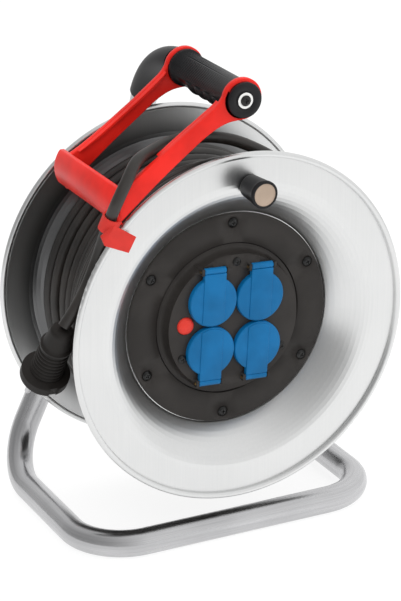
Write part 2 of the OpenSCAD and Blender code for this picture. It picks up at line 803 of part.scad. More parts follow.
module swept_tube(line, r, sides, up) {
  n = len(line);
  points = [for (i = [0 : n - 1]) let (d = tangent(line, i), a = side_of(d, up[i]), b = cross(a, d))
    for (k = [0 : sides - 1]) line[i] + r * (a * cos(360 * (k + 0.5) / sides) + b * sin(360 * (k
      + 0.5) / sides))];
  quads = [for (i = [0 : n - 2]) for (k = [0 : sides - 1]) let (m = (k + 1) % sides)
    each [[i * sides + k, (i + 1) * sides + k, (i + 1) * sides + m],
      [i * sides + k, (i + 1) * sides + m, i * sides + m]]];
  ends = [for (k = [1 : sides - 2]) each [[0, k, k + 1],
    [(n - 1) * sides, (n - 1) * sides + k + 1, (n - 1) * sides + k]]];
  polyhedron(points = points, faces = concat(quads, ends), convexity = 20);
}

module winding() color("#2a2826") on_drum()
  swept_tube(wind_line, cable_r, loop_sides, [for (p = wind_line) [0, 1, 0]]);

sag_gap = 3;
core_half = 57;
function core_r(y) = lookup(y, layer_r) - cable_r - sag_gap;

// Everything under the outer layer, as one body of revolution
module winding_core() color("#232120") on_drum() {
  inner = barrel_r + gap;
  side = ring_back_y - ring_depth - gap;
  turned(concat(
    [[inner, -side], [seat_r, -side], [seat_r + 4, 11 - core_half], [seat_r + 12, -core_half]],
    [for (y = [-core_half, -50, -40, -28, -14, 2, 16, 30, 42, 52, core_half]) [core_r(y), y]],
    [[seat_r + 12, core_half], [seat_r + 4, core_half - 11], [seat_r, side], [inner, side]]));
}

// ---- Crank knob --------------------------------------------------------------------------------

module at_crank() {
  on_drum() translate([0, 0, crank_r]) children();
}

knob_pin_r = 4;
// The nut's collar meets the inside of the plate where the plate has begun to fall away
nut_seat_y = -crown_y + sheet_t + 2.6;

module knob_bolt() color("silver") at_crank() union() {
  rod(knob_pin_r, -knob_face_y + 5, nut_seat_y + 6.2);
  rod(6.4, -knob_face_y + 2.6, -knob_face_y + 5);
  rod(6, -crown_y - gap + 0.1, -crown_y - snug);
}

module knob_nut() color("silver") at_crank() difference() {
  union() {
    translate([0, nut_seat_y + 1.6, 0]) rotate([-90, 0, 0]) cylinder(r = 7, h = 4, $fn = 6);
    rod(5.4, nut_seat_y, nut_seat_y + 2);
  }
  rod(knob_pin_r + snug, -crown_y, 0);
}

module crank_knob() color("#262729") at_crank() difference() {
  turned([[0, -knob_base_y - 0.3], [8.6, -knob_base_y - 0.3], [9.3, -knob_base_y - 1.2],
    [knob_r - 0.3, -knob_face_y + 4],
    [knob_r, -knob_face_y + 3], [knob_r, -knob_face_y + 0.8], [knob_r - 0.8, -knob_face_y],
      [0, -knob_face_y]]);
  rod(knob_pin_r + running, -knob_face_y - cut, 0);
  rod(6.4 + gap, -knob_face_y - cut, -knob_face_y + 5 + gap);
  rod(9.1, -knob_face_y - cut, -knob_face_y + 1.6);
}

module knob_disc() color("#cfc0ad") at_crank()
  rod(9.1 - snug, -knob_face_y + 0.5, -knob_face_y + 1.6 - snug);

// ---- Free end of the cable ---------------------------------------------------------------------

// The tail's route from the winding, over the guide's bar and through the clip, into the plug
tail_route = [
  [118, -62, 40], [110, -62, 59], [100, -63, 76], [87, -63, 91], [72, -62, 104], [56, -60, 117],
  [40, -56, 128], [24, -50, 138], [7, -45, 146], [-12, -43, 151], [-31, -44, 153], [-51, -49, 154],
  [-70, -57, 152], [-87, -67, 149], [-99, -76, 139], [-109, -79, 124], [-112, -72, 108],
  [-115, -66, 91], [-120, -63, 73], [-128, -63, 55], [-138, -63, 38], [-147, -61, 24]
];
tail_steps = 3;

function spline(p, i, t) = let (a = p[max(i - 1, 0)], b = p[i], c = p[i + 1], d = p[min(i + 2, len(p) - 1)])
  (2 * b + (c - a) * t + (2 * a - 5 * b + 4 * c - d) * t * t + (3 * b - a - 3 * c + d) * t * t * t) / 2;
tail_line = concat([for (i = [0 : len(tail_route) - 2]) for (k = [0 : tail_steps - 1])
  spline(tail_route, i, k / tail_steps)], [tail_route[len(tail_route) - 1]]);
function line_length(p, i = 0) = i + 1 >= len(p) ? 0 : norm(p[i + 1] - p[i]) + line_length(p, i + 1);
echo(tail_length = line_length(tail_line));

module tail_cord() color("#2a2826") at_drum()
  swept_tube(tail_line, cable_r, 10, [for (p = tail_line) unit([p[0], 0, p[2]])]);

plug_dir = unit([-0.03, 0.559, -0.829]);
plug_top = tail_route[len(tail_route) - 1] + 3.3 * plug_dir;

module at_plug() {
  at_drum() aim(plug_top, across(plug_dir), plug_dir) children();
}

neck_len = 22;
grip_len = 32;
rib_count = 8;
collar_len = 8;
face_z = neck_len + grip_len;

module plug_body() color("#2b2927") at_plug() difference() {
  union() {
    rotate_extrude($fn = FN)
      polygon([[0, 0], [7.4, 0], [8.8, 1.5], [11.2, neck_len - 3], [12.8, neck_len - 2],
      [12.8, neck_len], [0, neck_len]]);
    rotate_extrude($fn = FN) polygon(concat([[0, neck_len]],
      [for (i = [0 : rib_count - 1]) for (step = [0, 1, 2, 3])
        [10.6 + 1.4 * i / rib_count + (step == 1 || step == 2 ? 1.6 : 0),
          neck_len + (i + step * 0.25) * grip_len / rib_count]],
      [[13, face_z], [plug_r - 1, face_z], [plug_r, face_z + 1], [plug_r, face_z + collar_len],
        [0, face_z + collar_len]]));
  }
  translate([0, 0, face_z + 2]) cylinder(r = plug_r - 2.5, h = collar_len, $fn = FN);
  for (side = [-1, 1]) translate([0, side * plug_r, face_z + collar_len / 2 + 1])
    cube([6, 2.4, collar_len + 4], center = true);
}

module plug_face() color("#35322f") at_plug() difference() {
  translate([0, 0, face_z + 2]) cylinder(r = plug_r - 2.5 - snug, h = collar_len - 1.5, $fn = FN);
  for (side = [-1, 1]) translate([side * 9.5, 0, 0]) cylinder(r = 2.4 + snug, h = 100, $fn = 48);
}

module plug_pins() color("gainsboro") at_plug() for (side = [-1, 1])
  translate([side * 9.5, 0, face_z + 2.2]) union() {
    cylinder(r = 2.4, h = collar_len - 1.7 + 17.5, $fn = 48);
    translate([0, 0, collar_len - 1.7 + 17.5]) sphere(r = 2.4, $fn = 48);
  }

// A soft hook that holds the tail at the rim: it wraps the cable, and its tab lies in front of the plate
strap_w = 12;
clip_hole_r = cable_r + 1.5;
clip_wall = 1.5;
clip_spot = [-111.6, -71, 105];
tab_y = -79.8;
clip_tab = [[-123, 99], [-112, 106], [-94, 94], [-100.4, 82.2], [-120, 91]];

module rim_clip() color("#d83a33") at_drum() {
  along = unit([-4, 6, -17]);
  out = unit([clip_spot[0], 0, clip_spot[2]]);
  difference() {
    union() {
      slab(tab_y, tab_y + 2) polygon(clip_tab);
      difference() {
        aim(clip_spot, unit(out - along * (out * along)), along)
          cylinder(r = clip_hole_r + clip_wall, h = strap_w, center = true, $fn = 48);
        rod(flange_r + gap, -rim_y - 3, 0);
      }
    }
    aim(clip_spot, unit(out - along * (out * along)), along) {
      cylinder(r = clip_hole_r, h = 40, center = true, $fn = 48);
      translate([-21, -2, -20]) cube([20, 12, 40]);
    }
  }
}

stand_tube();
axle_bracket();
bracket_bolts();
bracket_nuts();
axle();
axle_spacer();
axle_washer();
axle_nut();
neck_sleeve();
hand_grip();
tube_insert();
grip_end_cap();
cap_washer();
cap_screw();
guide_frame();
guide_rear_arm();
front_flange();
rear_flange();
drum_barrel();
hub_bush();
front_ring();
front_screws();
rear_ring();
rear_screws();
socket_insert();
insert_screws();
socket_block_1();
socket_block_2();
socket_block_3();
socket_block_4();
contact_sleeves();
earth_clips();
thermal_cutout();
terminal_block();
cable_gland();
winding_core();
winding();
knob_bolt();
knob_nut();
lid_pins();
lid_springs();
crank_knob();
knob_disc();
reset_button();
lid_1();
lid_2();
lid_3();
lid_4();
rim_clip();
tail_cord();
plug_body();
plug_face();
plug_pins();
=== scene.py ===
"""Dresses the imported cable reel: its cable, tube, moulded parts, finishes, light and camera.

Everything is in metres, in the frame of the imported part. Sizes in the tables below are in
millimetres from the middle of the drum, where X is right, Y is back and Z is up.
"""

import json
import math

import bmesh
import bpy
from mathutils import Matrix, Vector


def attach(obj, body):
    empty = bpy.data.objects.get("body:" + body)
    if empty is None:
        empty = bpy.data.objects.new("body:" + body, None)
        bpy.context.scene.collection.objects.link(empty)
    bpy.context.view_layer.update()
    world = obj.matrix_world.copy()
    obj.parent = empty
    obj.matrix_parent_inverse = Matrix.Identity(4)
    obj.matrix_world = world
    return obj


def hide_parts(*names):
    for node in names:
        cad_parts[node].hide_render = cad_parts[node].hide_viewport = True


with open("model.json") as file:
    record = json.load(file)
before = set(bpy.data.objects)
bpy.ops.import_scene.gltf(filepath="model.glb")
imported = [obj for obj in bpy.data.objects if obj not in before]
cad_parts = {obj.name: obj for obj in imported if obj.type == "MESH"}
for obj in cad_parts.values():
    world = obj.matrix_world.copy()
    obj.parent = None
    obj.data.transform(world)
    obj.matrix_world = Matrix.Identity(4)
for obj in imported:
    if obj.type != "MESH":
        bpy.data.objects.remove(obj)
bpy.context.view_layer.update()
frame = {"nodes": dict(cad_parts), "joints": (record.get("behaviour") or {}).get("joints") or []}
NODES = frame["nodes"]
JOINTS = {j["name"]: j for j in frame["joints"]}

bl_info = {
    "name": "Cable reel dresser",
    "version": (1, 0, 0),
    "blender": (4, 5, 0),
    "location": "3D View > Sidebar > Reel",
    "description": "Adds the cable, finishes, light and camera of a cable reel to its packed frame",
    "category": "Object",
}

MM = 0.001
DRUM = Vector(JOINTS["drum_spin"]["pos_m"])
DRUM_TURN = math.radians(3.1)

# Layout of the bent tube: corners of its line, and the bend radius at each
GRIP_Z = 187.5
TUBE_R = 11.0
TUBE_CORNERS = [
    (0, -72, 187.5), (0, 110, 187.5), (0, 110, 99), (-128, 110, -170), (-128, -68, -170),
    (128, -68, -170), (128, 110, -170), (0, 110, 99),
]
TUBE_BENDS = [0, 76, 40, 45, 45, 45, 45, 0]
TUBE_SIDES, TUBE_STEP = 48, 3.0

# Radius of the cable's outer layer, by distance back from the drum's middle
LAYER_R = [
    (-60, 125), (-50, 126), (-40, 127), (-28, 124), (-14, 116), (2, 108), (16, 104), (30, 104),
    (42, 108), (52, 110), (60, 110),
]
WIND_BACK, WIND_FRONT, TURNS = 59.0, 60.0, 12
# Sway of the turns: in and out, along the drum, and where the second starts
SWAY_R, SWAY_Y, SWAY_START = 0.8, 1.4, math.radians(40)
# How much of the wander goes in and out, and along the drum
STRAY_R, STRAY_Y = 0.35, 0.25
# The layer below: how much deeper, how far out of step, and its first and last turn
INNER_LIFT, INNER_DRIFT, INNER_FIRST, INNER_LAST = 7.6, 2.0, 0.45, TURNS - 0.5
OUTER_LAST = TURNS + 0.04
# What shows of the cable below both: places along the drum, and the sides as radius and place
BED_DEPTH = 12.5
BED_Y = [-57, -50, -40, -28, -14, 2, 16, 30, 42, 52, 57]
BED_SIDE = [(88.5, 38.1), (92.5, 46), (100.5, 57)]
CABLE_D = 9.4
# Inside this radius, in metres, the rear plate gets painted shade, standing in for its dark
# reflection of the winding
PAINTED_SHADE_R = 0.126

# The free end's route from the winding, over the guide's foot and through the clip, to the plug
TAIL_ROUTE = [
    (118, -62, 40), (110, -62, 59), (100, -63, 76), (87, -63, 91), (72, -62, 104), (56, -60, 117),
    (40, -56, 128), (24, -50, 138), (7, -45, 146), (-12, -43, 151), (-31, -44, 153),
    (-51, -49, 154), (-70, -57, 152), (-87, -67, 149), (-99, -76, 139), (-109, -79, 124),
    (-112, -72, 108), (-115, -66, 91), (-120, -63, 73), (-128, -63, 55), (-138, -63, 38),
    (-147, -61, 24),
]
TAIL_STEPS, TAIL_SIDES = 8, 20

# Outline of the guide's arms: how far down the arm from the grip's axis, and how far across it
ARM_SLOPE = math.radians(32.4)
ARM_UPPER = [
    (5, 15.7), (16, 9.6), (30, 8.4), (55, 7.6), (78, 6.4), (90, 6.0), (106, 6.0), (118, 7.0),
]
ARM_LOWER = [
    (134, -15.4), (109, -11.8), (87, -9.0), (59, -6.5), (40, -5.4), (28, -6.2), (18, -8.8),
    (8, -14.4),
]
ARM_STEPS = 4
REAR_ARM_DROP = 2.4
BOSS_R, BOSS_BORE, ARM_EDGE, LIP_EDGE, BAR_EDGE = 16.5, 11.4, 1.2, 0.25, 1.0
# The rib along an arm: its height, how far it tapers at each end, and how deep it sits
LIP_H, LIP_START, LIP_TAPER, LIP_SUNK = 2.0, 12, (14, 22), 0.3
# Front and back of each arm and of its rib, how far down the rib runs, and the arm's drop
ARMS = [
    ((-72.5, -67.0), (-68.0, -63.5), 80, 0.0),
    ((26.5, 32.0), (23.0, 27.5), 112, REAR_ARM_DROP),
]
# The bar between the arms' feet: its ends, its front and back, thickness and bulge
BAR_TOP, BAR_FOOT, BAR_FRONT, BAR_BACK = (118, 7), (134, -15.4), -72.5, 41.0
BAR_T, BAR_BULGE, BAR_STEPS = 4, 4.6, 12

# Sizes of the sockets' lids
HALF_PITCH, LID_R, LID_FRONT, LID_BACK, TAB_HALF = 20.75, 20.5, 63.5, 59.0, 9.5
HINGE_Z, HINGE_Y, KNUCKLE_R, PIN_BORE = 26.0, 61.8, 2.7, 1.3
STRIP_MARGIN, STRIP_H, STRIP_STEPS = 1.2, 0.8, 10
STRIP_SUNK, STRIP_EDGE = 0.6, 0.45
# The leaf between a lid and its hinge: where it starts, how deep it sits, and its bevel
LEAF_Z, LEAF_SUNK, LEAF_EDGE = 12, 0.4, 0.3
SOCKET_SIGNS = [(-1, 1), (1, 1), (-1, -1), (1, -1)]

# Floor: half its width, and how strongly it glows to the camera and to glossy rays, which see
# less of the glow with each metre from a place at the right
FLOOR_HALF, FLOOR_GLOW = 6.0, 1.15
GLOW_SEEN, GLOW_MIRRORED, GLOW_FALL, GLOW_FROM = 0.74, 0.92, 0.35, (0.75, -0.25, 0)
# Lamps: place in metres, width in metres, and share of the main light's power
LAMPS = [
    ("key", (-1.1, -1.3, 1.7), 1.2, 1.0),
    ("fill", (1.6, -1.2, 0.9), 1.0, 0.35),
    ("top", (0.2, 0.3, 2.1), 1.4, 0.7),
]
LAMP_AIM = Vector((0, 0, 0.2))
# Studio: where its brightness starts and stops to rise from left to right, and the bright end
STUDIO_FROM, STUDIO_TO, STUDIO_BRIGHT = -1.0, 0.6, 0.95
# Camera: what it aims at, right of and above the drum's middle in its own view, and its sensor
AIM_RIGHT, AIM_UP, SENSOR = 0.29, -1.94, 36

# Merging distances, in metres in the row frame and in mm in a form
WELD, WELD_MM = 1e-6, 1e-4
# Angles above which an edge stays crisp, and above which it is bevelled
MOULDED_SHARP, FORM_SHARP, TUBE_SHARP = 30, 35, 50
ARM_ANGLE, FORM_ANGLE = 60, 50
TUBE_TREE = "tube along a line"


def place(point):
    """A point given in millimetres from the drum's middle, in the row frame."""
    return DRUM + Vector(point) * MM


def place_on_drum(point):
    """The same for a point on the drum, which stands a little turned."""
    return DRUM + Matrix.Rotation(DRUM_TURN, 3, "Y") @ (Vector(point) * MM)


def lookup(x, table):
    """Straight-line value of a table of pairs at x."""
    if x <= table[0][0]:
        return table[0][1]
    for (x0, y0), (x1, y1) in zip(table, table[1:]):
        if x <= x1:
            return y0 + (y1 - y0) * (x - x0) / (x1 - x0)
    return table[-1][1]


# ---- Shader maths ------------------------------------------------------------------------------


class Socket:
    """Wraps a node's output so that Python operators add Math nodes."""

    def __init__(self, shader, socket):
        self.shader, self.socket = shader, socket

    def _math(self, operation, *values):
        return self.shader.node("ShaderNodeMath", {"operation": operation}, *values)

    def __add__(self, other):
        return self._math("ADD", self, other)

    def __sub__(self, other):
        return self._math("SUBTRACT", self, other)

    def __mul__(self, other):
        return self._math("MULTIPLY", self, other)

    def __radd__(self, other):
        return self._math("ADD", other, self)

    def __rsub__(self, other):
        return self._math("SUBTRACT", other, self)

    def __rmul__(self, other):
        return self._math("MULTIPLY", other, self)

    def above(self, edge, soft):
        """0 below edge and 1 above it, over a soft step."""
        return self.shader.node(
            "ShaderNodeMapRange",
            {"interpolation_type": "SMOOTHSTEP", "clamp": True},
            self, edge - soft, edge + soft, 0.0, 1.0,
        )


class Shader:
    """Builds one material from expressions."""

    def __init__(self, name):
        self.material = bpy.data.materials.new(name)
        self.material.use_nodes = True
        self.tree = self.material.node_tree
        self.surface = self.tree.nodes["Principled BSDF"]

    def node(self, kind, settings=None, *values, output=0, **named):
        """Adds a node; values go to its inputs in order, and named ones by name."""
        made = self.tree.nodes.new(kind)
        for key, value in (settings or {}).items():
            setattr(made, key, value)
        for socket, value in zip(made.inputs, values):
            self.feed(socket, value)
        for key, value in named.items():
            self.feed(made.inputs[key.replace("_", " ")], value)
        return Socket(self, made.outputs[output])

    def feed(self, socket, value):
        """Links a socket into an input, or sets the input to a plain value."""
        if isinstance(value, Socket):
            self.tree.links.new(value.socket, socket)
        elif value is not None:
            socket.default_value = value

    def ramp(self, value, *stops):
        """Colours along a value, from stops of (position, colour)."""
        made = self.tree.nodes.new("ShaderNodeValToRGB")
        points = made.color_ramp.elements
        while len(points) < len(stops):
            points.new(0.5)
        for point, (at, colour) in zip(points, stops):
            point.position = at
            point.color = (*colour, 1.0)
        self.feed(made.inputs[0], value)
        return Socket(self, made.outputs[0])

    def place(self, scale=(1, 1, 1), turn=(0, 0, 0)):
        """The place on the piece, in its object's coordinates."""
        coordinates = self.tree.nodes.new("ShaderNodeTexCoord")
        return self.node(
            "ShaderNodeMapping", None,
            Socket(self, coordinates.outputs["Object"]), (0, 0, 0), turn, scale,
        )

    def grain(self, scale):
        """The place on a tube: around it, and along it."""
        stored = self.tree.nodes.new("ShaderNodeAttribute")
        stored.attribute_name = "grain"
        return self.node(
            "ShaderNodeMapping", None, Socket(self, stored.outputs["Vector"]), (0, 0, 0),
            (0, 0, 0), scale)

    def noise(self, at, scale, detail=3.0, rough=0.5):
        """Noise between 0 and 1."""
        return self.node("ShaderNodeTexNoise", None, at, None, scale, detail, rough)

    def blend(self, mask, first, second):
        """The first colour where the mask is 0, and the second where it is 1."""
        made = self.tree.nodes.new("ShaderNodeMix")
        made.data_type = "RGBA"
        self.feed(made.inputs[0], mask)
        for socket, value in ((made.inputs[6], first), (made.inputs[7], second)):
            self.feed(socket, value if isinstance(value, Socket) else (*value, 1.0))
        return Socket(self, made.outputs[2])

    def bump(self, height, strength, distance):
        """A normal from a height; the distance is in metres."""
        return self.node(
            "ShaderNodeBump", None, strength, distance, Height=height
        )

    def finish(self, **sockets):
        """Feeds the surface's inputs by name and gives the material."""
        for key, value in sockets.items():
            self.feed(self.surface.inputs[key.replace("_", " ")], value)
        return self.material


def linear(r, g, b):
    """A colour in everyday 0 to 255 values, as the shader wants it."""
    return tuple(
        c / 12.92 if c <= 0.04045 else ((c + 0.055) / 1.055) ** 2.4
        for c in (r / 255, g / 255, b / 255)
    )


# ---- Finishes ----------------------------------------------------------------------------------


def moulded_plastic(name, colour, roughness=0.45, grain=0.12):
    """Injection moulded plastic with a fine grain and faint handling marks."""
    s = Shader(name)
    at = s.place()
    cloud = s.noise(at, 26.0, 3.0)
    grain_height = s.noise(at, 1500.0, 2.0)
    darker = tuple(c * 0.86 for c in colour)
    lighter = tuple(min(1.0, c * 1.12 + 0.002) for c in colour)
    return s.finish(
        Base_Color=s.blend(cloud.above(0.5, 0.16), darker, lighter),
        Roughness=roughness + cloud * 0.12 - 0.06,
        Normal=s.bump(grain_height, grain, 0.0002),
        Specular_IOR_Level=0.22,
    )


def zinc_sheet(name, painted_shade):
    """Galvanised sheet: a satin mirror with fine drawn streaks and a faint cloud.

    The second argument is how much painted shade darkens the sheet near the winding, standing in
    for its dark reflection of the cable.
    """
    s = Shader(name)
    streak = s.noise(s.place((700, 700, 14), turn=(0, 0.12, 0)), 1.0, 3.0)
    cloud = s.noise(s.place(), 14.0, 3.0, 0.5)
    from_axis = s.node(
        "ShaderNodeVectorMath", {"operation": "DISTANCE"}, s.place((1, 0, 1)),
        (DRUM.x, 0, DRUM.z), output=1)
    unshaded_sheet = s.blend(cloud * 0.6 + streak * 0.4, (0.68, 0.69, 0.69), (0.84, 0.84, 0.835))
    # Painted shade: near the winding the sheet is darkened, standing in for its dark reflection of
    # the cable
    mask = from_axis.above(PAINTED_SHADE_R, 0.012) * painted_shade + (1 - painted_shade)
    return s.finish(
        Base_Color=s.blend(mask, (0.03, 0.03, 0.032), unshaded_sheet),
        Metallic=1.0,
        Roughness=0.24 + cloud * 0.06 + streak * 0.06,
        Normal=s.bump(streak, 0.015, 0.0002),
    )


def zinc_tube():
    """Welded tube with a bright zinc coat that was drawn out along its length."""
    s = Shader("zinc_tube_finish")
    lines = s.noise(s.grain((160, 160, 4)), 2.0, 3.0)
    fine = s.noise(s.grain((700, 700, 12)), 2.0, 2.0)
    cloud = s.noise(s.place(), 18.0, 3.0)
    mask = lines * 0.5 + fine * 0.2 + cloud * 0.3
    return s.finish(
        Base_Color=s.ramp(mask, (0.3, (0.46, 0.46, 0.47)), (0.7, (0.68, 0.68, 0.69))),
        Metallic=1.0,
        Roughness=0.17 + lines * 0.14 + cloud * 0.05,
        Normal=s.bump(lines + fine * 0.3, 0.07, 0.0003),
    )


def plain_steel(name, colour, roughness=0.35):
    """Small plated steel parts."""
    s = Shader(name)
    cloud = s.noise(s.place(), 240.0, 3.0)
    return s.finish(
        Base_Color=s.blend(cloud, tuple(c * 0.8 for c in colour), colour),
        Metallic=1.0,
        Roughness=roughness + cloud * 0.15 - 0.07,
    )


def cable_rubber():
    """Rubber cable jacket: dark and slightly waxy, with dusty patches and tiny drag marks."""
    s = Shader("cable_rubber_finish")
    drag = s.noise(s.grain((500, 500, 25)), 2.0, 3.0)
    dust = s.noise(s.place(), 34.0, 4.0, 0.6)
    fine = s.noise(s.place(), 900.0, 2.0)
    return s.finish(
        Base_Color=s.blend(dust.above(0.52, 0.2), linear(33, 31, 29), linear(48, 44, 41)),
        Roughness=0.30 + dust * 0.18,
        Normal=s.bump(drag * 0.7 + fine * 0.3, 0.18, 0.0003),
        Specular_IOR_Level=0.5,
    )


def moulded_rubber(name, colour):
    """Soft moulded rubber, matt and a little dusty."""
    s = Shader(name)
    dust = s.noise(s.place(), 60.0, 4.0, 0.6)
    fine = s.noise(s.place(), 1100.0, 2.0)
    return s.finish(
        Base_Color=s.blend(dust.above(0.5, 0.2), tuple(c * 0.85 for c in colour), colour),
        Roughness=0.5 + dust * 0.15,
        Normal=s.bump(fine, 0.15, 0.0003),
        Specular_IOR_Level=0.25,
    )


def make_finishes():
    """One material for each finish on the reel, by name."""
    return {
        "zinc_sheet": zinc_sheet("zinc_sheet_finish", 0.0),
        # The rear plate's sheet, with painted shade near the winding
        "painted_shade_sheet": zinc_sheet("painted_shade_sheet_finish", 0.85),
        "zinc_tube": zinc_tube(),
        "steel": plain_steel("steel_finish", (0.62, 0.62, 0.63)),
        "brass": plain_steel("brass_finish", (0.72, 0.50, 0.22), 0.3),
        "black_steel": plain_steel("black_steel_finish", (0.05, 0.05, 0.05), 0.35),
        "black_plastic": moulded_plastic("black_plastic_finish", linear(26, 26, 28), 0.38),
        "grey_plastic": moulded_plastic("grey_plastic_finish", linear(50, 47, 45), 0.46),
        "red_plastic": moulded_plastic("red_plastic_finish", linear(232, 38, 28), 0.34, 0.06),
        "blue_plastic": moulded_plastic("blue_plastic_finish", linear(4, 104, 160), 0.40),
        "button_red": moulded_plastic("button_red_finish", linear(226, 62, 50), 0.4),
        "white_plastic": moulded_plastic("white_plastic_finish", linear(236, 236, 234), 0.45),
        "beige_plastic": moulded_plastic("beige_plastic_finish", linear(184, 164, 146), 0.5),
        "ivory_plastic": moulded_plastic("ivory_plastic_finish", linear(222, 215, 196), 0.5),
        "cable_rubber": cable_rubber(),
        "plug_rubber": moulded_rubber("plug_rubber_finish", linear(34, 31, 29)),
        "red_rubber": moulded_rubber("red_rubber_finish", linear(222, 58, 50)),
    }


# Filled by the finishes step
FINISHES = {}

# CAD nodes that keep their own mesh, by finish
PLAIN_NODES = {
    "steel": [
        "axle_bracket", "bracket_bolts", "bracket_nuts", "axle", "axle_spacer", "axle_washer",
        "axle_nut", "earth_clips", "knob_bolt", "knob_nut", "plug_pins",
    ],
    "brass": ["contact_sleeves", "lid_pins"],
    "black_steel": [
        "cap_screw", "front_screws", "rear_screws", "insert_screws", "lid_springs",
    ],
    "black_plastic": [
        "neck_sleeve", "tube_insert", "drum_barrel", "thermal_cutout", "cable_gland",
    ],
    "grey_plastic": [
        "rear_ring", "socket_block_1", "socket_block_2", "socket_block_3", "socket_block_4",
    ],
    "zinc_sheet": ["front_flange"],
    # The rear plate takes the sheet with painted shade near the winding
    "painted_shade_sheet": ["rear_flange"],
    "white_plastic": ["cap_washer"],
    "beige_plastic": ["knob_disc"],
    "ivory_plastic": ["hub_bush", "terminal_block"],
    "button_red": ["reset_button"],
    "plug_rubber": ["plug_face"],
}

# CAD nodes shown as smooth shaded copies: finish and body
SMOOTHED_NODES = {
    "hand_grip": ("black_plastic", "stand"),
    "grip_end_cap": ("black_plastic", "stand"),
    "front_ring": ("grey_plastic", "drum"),
    "socket_insert": ("grey_plastic", "drum"),
    "crank_knob": ("black_plastic", "knob"),
    "plug_body": ("plug_rubber", "stand"),
    "rim_clip": ("red_rubber", "stand"),
}


# ---- Mesh helpers ------------------------------------------------------------------------------


def add_object(name, mesh, finish):
    """Links a mesh as a piece at the origin."""
    piece = bpy.data.objects.new(name, mesh)
    bpy.context.scene.collection.objects.link(piece)
    mesh.materials.clear()
    mesh.materials.append(FINISHES[finish])
    return piece


def shade(mesh, angle):
    """Smooth faces, with edges sharper than the angle kept crisp."""
    mesh.polygons.foreach_set("use_smooth", [True] * len(mesh.polygons))
    mesh.set_sharp_from_angle(angle=math.radians(angle))
    mesh.update()


def settle(piece):
    """Applies a piece's modifiers into a plain mesh."""
    bpy.context.view_layer.update()
    shown = piece.evaluated_get(bpy.context.evaluated_depsgraph_get())
    mesh = bpy.data.meshes.new_from_object(shown)
    piece.modifiers.clear()
    piece.data = mesh


def tube_line(corners, bends, step):
    """Points along a bent tube's line, in mm, with round bends."""
    points = [Vector(corners[0])]
    for i in range(1, len(corners) - 1):
        a, b, c = (Vector(corners[k]) for k in (i - 1, i, i + 1))
        into, out = (b - a).normalized(), (c - b).normalized()
        angle = into.angle(out)
        setback = bends[i] * math.tan(angle / 2)
        start = b - into * setback
        inward = (out - into * into.dot(out)).normalized()
        centre = start + inward * bends[i]
        axis = into.cross(out).normalized()
        count = max(4, int(bends[i] * angle / step))
        for k in range(count + 1):
            spoke = Matrix.Rotation(angle * k / count, 3, axis) @ (start - centre)
            points.append(centre + spoke)
    points.append(Vector(corners[-1]))
    return points


def spline(points, steps):
    """A smooth line through the points, with this many steps between each two."""
    p = [Vector(q) for q in points]
    line = []
    for i in range(len(p) - 1):
        a, b, c, d = p[max(i - 1, 0)], p[i], p[i + 1], p[min(i + 2, len(p) - 1)]
        for k in range(steps):
            t = k / steps
            line.append(
                (2 * b + (c - a) * t + (2 * a - 5 * b + 4 * c - d) * t * t
                 + (3 * b - a - 3 * c + d) * t ** 3) / 2
            )
    return line + [p[-1]]


def tube_tree():
    """Geometry nodes that run a round tube along a line of edges.

    The attribute "grain" keeps where each point lies on the round section, and how far along.
    """
    tree = bpy.data.node_groups.new(TUBE_TREE, "GeometryNodeTree")
    tree.interface.new_socket("Geometry", in_out="INPUT", socket_type="NodeSocketGeometry")
    for label, kind in (("Radius", "Float"), ("Sides", "Int"), ("Finish", "Material")):
        tree.interface.new_socket(label, in_out="INPUT", socket_type="NodeSocket" + kind)
    tree.interface.new_socket("Geometry", in_out="OUTPUT", socket_type="NodeSocketGeometry")

    def add(kind, **settings):
        made = tree.nodes.new(kind)
        for key, value in settings.items():
            setattr(made, key, value)
        return made

    def link(source, output, target, socket):
        tree.links.new(source.outputs[output], target.inputs[socket])

    given = add("NodeGroupInput")
    line = add("GeometryNodeMeshToCurve")
    way = add("GeometryNodeSplineParameter")
    keep_way = add("GeometryNodeCaptureAttribute")
    keep_way.capture_items.new("FLOAT", "Length")
    section = add("GeometryNodeCurvePrimitiveCircle")
    place_on = add("GeometryNodeInputPosition")
    keep_place = add("GeometryNodeCaptureAttribute")
    keep_place.capture_items.new("VECTOR", "Place")
    body = add("GeometryNodeCurveToMesh")
    split = add("ShaderNodeSeparateXYZ")
    join = add("ShaderNodeCombineXYZ")
    store = add("GeometryNodeStoreNamedAttribute", data_type="FLOAT_VECTOR", domain="POINT")
    smooth = add("GeometryNodeSetShadeSmooth")
    real = add("GeometryNodeRealizeInstances")
    finish = add("GeometryNodeSetMaterial")
    out = add("NodeGroupOutput")
    store.inputs["Name"].default_value = "grain"
    body.inputs["Fill Caps"].default_value = True
    link(given, "Geometry", line, 0)
    link(line, 0, keep_way, 0)
    link(way, "Length", keep_way, 1)
    link(given, "Radius", section, "Radius")
    link(given, "Sides", section, "Resolution")
    link(section, 0, keep_place, 0)
    link(place_on, 0, keep_place, 1)
    link(keep_way, 0, body, "Curve")
    link(keep_place, 0, body, "Profile Curve")
    link(keep_place, 1, split, 0)
    link(split, 0, join, 0)
    link(split, 1, join, 1)
    link(keep_way, 1, join, 2)
    link(body, 0, store, "Geometry")
    link(join, 0, store, "Value")
    link(store, 0, smooth, 0)
    link(smooth, 0, real, 0)
    link(real, 0, finish, 0)
    link(given, "Finish", finish, "Material")
    link(finish, 0, out, 0)
    return tree


